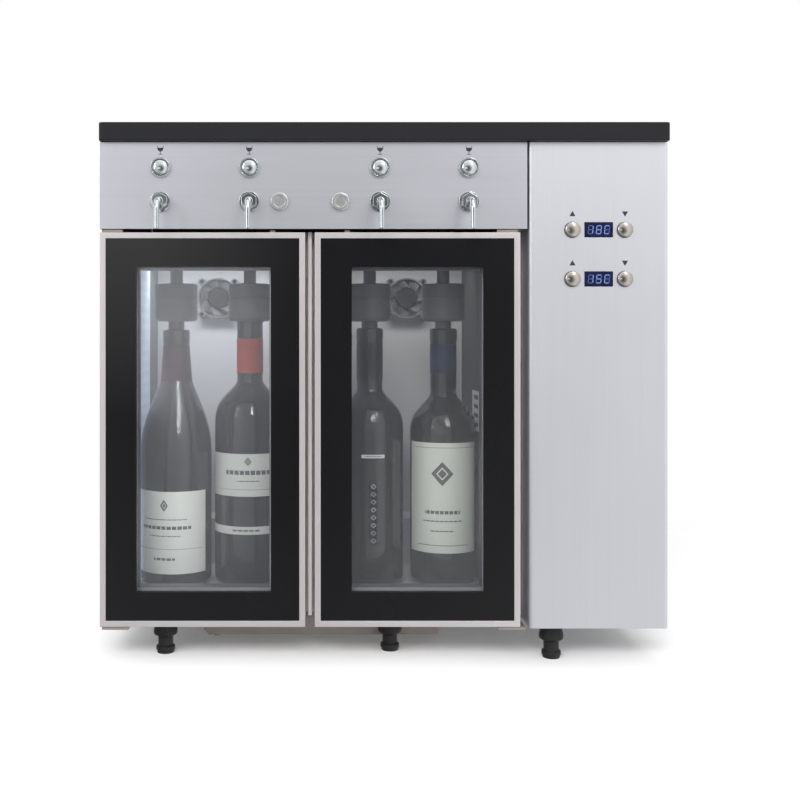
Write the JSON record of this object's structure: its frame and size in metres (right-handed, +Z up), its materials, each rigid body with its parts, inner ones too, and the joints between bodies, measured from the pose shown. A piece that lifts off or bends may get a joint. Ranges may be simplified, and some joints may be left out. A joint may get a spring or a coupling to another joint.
{
  "type": "wine preservation dispenser",
  "caption": "Counter-top wine dispenser: cooled compartments with hinged glass doors, steel tap fascia with spouts and pour buttons, control bay with displays.",
  "frame": {"origin": "middle of the whole box in X and Y, on the plane that the feet stand on", "axes": "+Z up; -Y towards the person who pours, out of the doors; +X to the right, towards the control bay"},
  "size_m": [0.57, 0.3628, 0.5432],
  "materials": {
    "top_slab": "black laminate, fine grain",
    "fascia_steel": "brushed along its length",
    "cover_steel": "fine satin",
    "casing_steel": "grey coated sheet",
    "frame_steel": "brown-grey coated sheet",
    "door_aluminium": "satin anodised",
    "door_glazing": "clear with a black printed border",
    "door_seal": "matt",
    "chrome": "polished",
    "cell_lining": "light grey lining",
    "black_plastic": "moulded",
    "foot_rubber": "moulded",
    "bottle_glass": "dark green, polished",
    "sink_aluminium": "mill finish",
    "board_green": "lacquered board",
    "display_window": "dark blue window",
    "cylinder_paint": "green enamel",
    "regulator_brass": "machined"
  },
  "bodies": {
    "casing": {"top_slab": "top_slab", "tap_fascia": "fascia_steel", "left_side_panel": "cover_steel", "rear_panel": "casing_steel", "bay_cover": "cover_steel", "bay_partition": "frame_steel", "base_pan": "casing_steel", "front_frame": "frame_steel", "condensate_tray": "frame_steel", "valve_block": "black_plastic", "control_board": "board_green", "gas_cylinder": "cylinder_paint", "gas_regulator": "regulator_brass", "power_supply": "casing_steel", "power_inlet": "black_plastic", "cell_left": "cell_lining", "heat_sink_left": "sink_aluminium", "fan_frame_left": "black_plastic", "lower_hinge_left": "door_aluminium", "cell_right": "cell_lining", "heat_sink_right": "sink_aluminium", "fan_frame_right": "black_plastic", "lower_hinge_right": "door_aluminium", "spout_1": "chrome", "bottle_1": "bottle_glass", "spout_2": "chrome", "bottle_2": "bottle_glass", "spout_3": "chrome", "bottle_3": "bottle_glass", "spout_4": "chrome", "bottle_4": "bottle_glass", "display_upper": "display_window", "display_lower": "display_window", "foot_front_left": "foot_rubber", "foot_front_middle": "foot_rubber", "foot_front_right": "foot_rubber", "foot_rear_left": "foot_rubber", "foot_rear_right": "foot_rubber"},
    "door_left": {"door_frame_left": "door_aluminium", "door_glass_left": "door_glazing", "door_gasket_left": "door_seal"},
    "door_right": {"door_frame_right": "door_aluminium", "door_glass_right": "door_glazing", "door_gasket_right": "door_seal"},
    "lock_left": {"door_lock_left": "chrome"},
    "lock_right": {"door_lock_right": "chrome"},
    "pour_button_1": {"pour_button_1": "chrome"},
    "pour_button_2": {"pour_button_2": "chrome"},
    "pour_button_3": {"pour_button_3": "chrome"},
    "pour_button_4": {"pour_button_4": "chrome"},
    "bottle_head_1": {"bottle_head_1": "black_plastic"},
    "bottle_head_2": {"bottle_head_2": "black_plastic"},
    "bottle_head_3": {"bottle_head_3": "black_plastic"},
    "bottle_head_4": {"bottle_head_4": "black_plastic"},
    "up_key_upper": {"up_key_upper": "chrome"},
    "down_key_upper": {"down_key_upper": "chrome"},
    "up_key_lower": {"up_key_lower": "chrome"},
    "down_key_lower": {"down_key_lower": "chrome"},
    "fan_rotor_left": {"fan_rotor_left": "black_plastic"},
    "fan_rotor_right": {"fan_rotor_right": "black_plastic"}
  },
  "joints": [
    {"name": "door_left_hinge", "type": "hinge", "parent": "casing", "child": "door_left", "pos_m": [-0.277, -0.14363, 0.237], "axis": [0, 0, 1], "range_deg": [-110, 0]},
    {"name": "door_right_hinge", "type": "hinge", "parent": "casing", "child": "door_right", "pos_m": [0.1285, -0.14363, 0.237], "axis": [0, 0, 1], "range_deg": [0, 110]},
    {"name": "lock_left_turn", "type": "hinge", "parent": "casing", "child": "lock_left", "pos_m": [-0.1048, -0.15163, 0.4644], "axis": [0, 1, 0], "range_deg": [0, 104]},
    {"name": "lock_right_turn", "type": "hinge", "parent": "casing", "child": "lock_right", "pos_m": [-0.0437, -0.15163, 0.4644], "axis": [0, 1, 0], "range_deg": [-104, 0]},
    {"name": "pour_button_1_press", "type": "slide", "parent": "casing", "child": "pour_button_1", "axis": [0, 1, 0], "range_m": [0, 0.0022], "stiffness_N_per_m": 500, "springref_m": -0.002},
    {"name": "pour_button_2_press", "type": "slide", "parent": "casing", "child": "pour_button_2", "axis": [0, 1, 0], "range_m": [0, 0.0022], "stiffness_N_per_m": 500, "springref_m": -0.002},
    {"name": "pour_button_3_press", "type": "slide", "parent": "casing", "child": "pour_button_3", "axis": [0, 1, 0], "range_m": [0, 0.0022], "stiffness_N_per_m": 500, "springref_m": -0.002},
    {"name": "pour_button_4_press", "type": "slide", "parent": "casing", "child": "pour_button_4", "axis": [0, 1, 0], "range_m": [0, 0.0022], "stiffness_N_per_m": 500, "springref_m": -0.002},
    {"name": "bottle_head_1_lift", "type": "slide", "parent": "casing", "child": "bottle_head_1", "axis": [0, 0, 1], "range_m": [0, 0.026]},
    {"name": "bottle_head_2_lift", "type": "slide", "parent": "casing", "child": "bottle_head_2", "axis": [0, 0, 1], "range_m": [0, 0.026]},
    {"name": "bottle_head_3_lift", "type": "slide", "parent": "casing", "child": "bottle_head_3", "axis": [0, 0, 1], "range_m": [0, 0.026]},
    {"name": "bottle_head_4_lift", "type": "slide", "parent": "casing", "child": "bottle_head_4", "axis": [0, 0, 1], "range_m": [0, 0.026]},
    {"name": "up_key_upper_press", "type": "slide", "parent": "casing", "child": "up_key_upper", "axis": [0, 1, 0], "range_m": [0, 0.0015], "stiffness_N_per_m": 400, "springref_m": -0.002},
    {"name": "down_key_upper_press", "type": "slide", "parent": "casing", "child": "down_key_upper", "axis": [0, 1, 0], "range_m": [0, 0.0015], "stiffness_N_per_m": 400, "springref_m": -0.002},
    {"name": "up_key_lower_press", "type": "slide", "parent": "casing", "child": "up_key_lower", "axis": [0, 1, 0], "range_m": [0, 0.0015], "stiffness_N_per_m": 400, "springref_m": -0.002},
    {"name": "down_key_lower_press", "type": "slide", "parent": "casing", "child": "down_key_lower", "axis": [0, 1, 0], "range_m": [0, 0.0015], "stiffness_N_per_m": 400, "springref_m": -0.002},
    {"name": "fan_left_spin", "type": "hinge", "parent": "casing", "child": "fan_rotor_left", "pos_m": [-0.1865, 0.07838, 0.3766], "axis": [0, 1, 0], "continuous": true},
    {"name": "fan_right_spin", "type": "hinge", "parent": "casing", "child": "fan_rotor_right", "pos_m": [0.045, 0.07838, 0.3766], "axis": [0, 1, 0], "continuous": true}
  ]
}
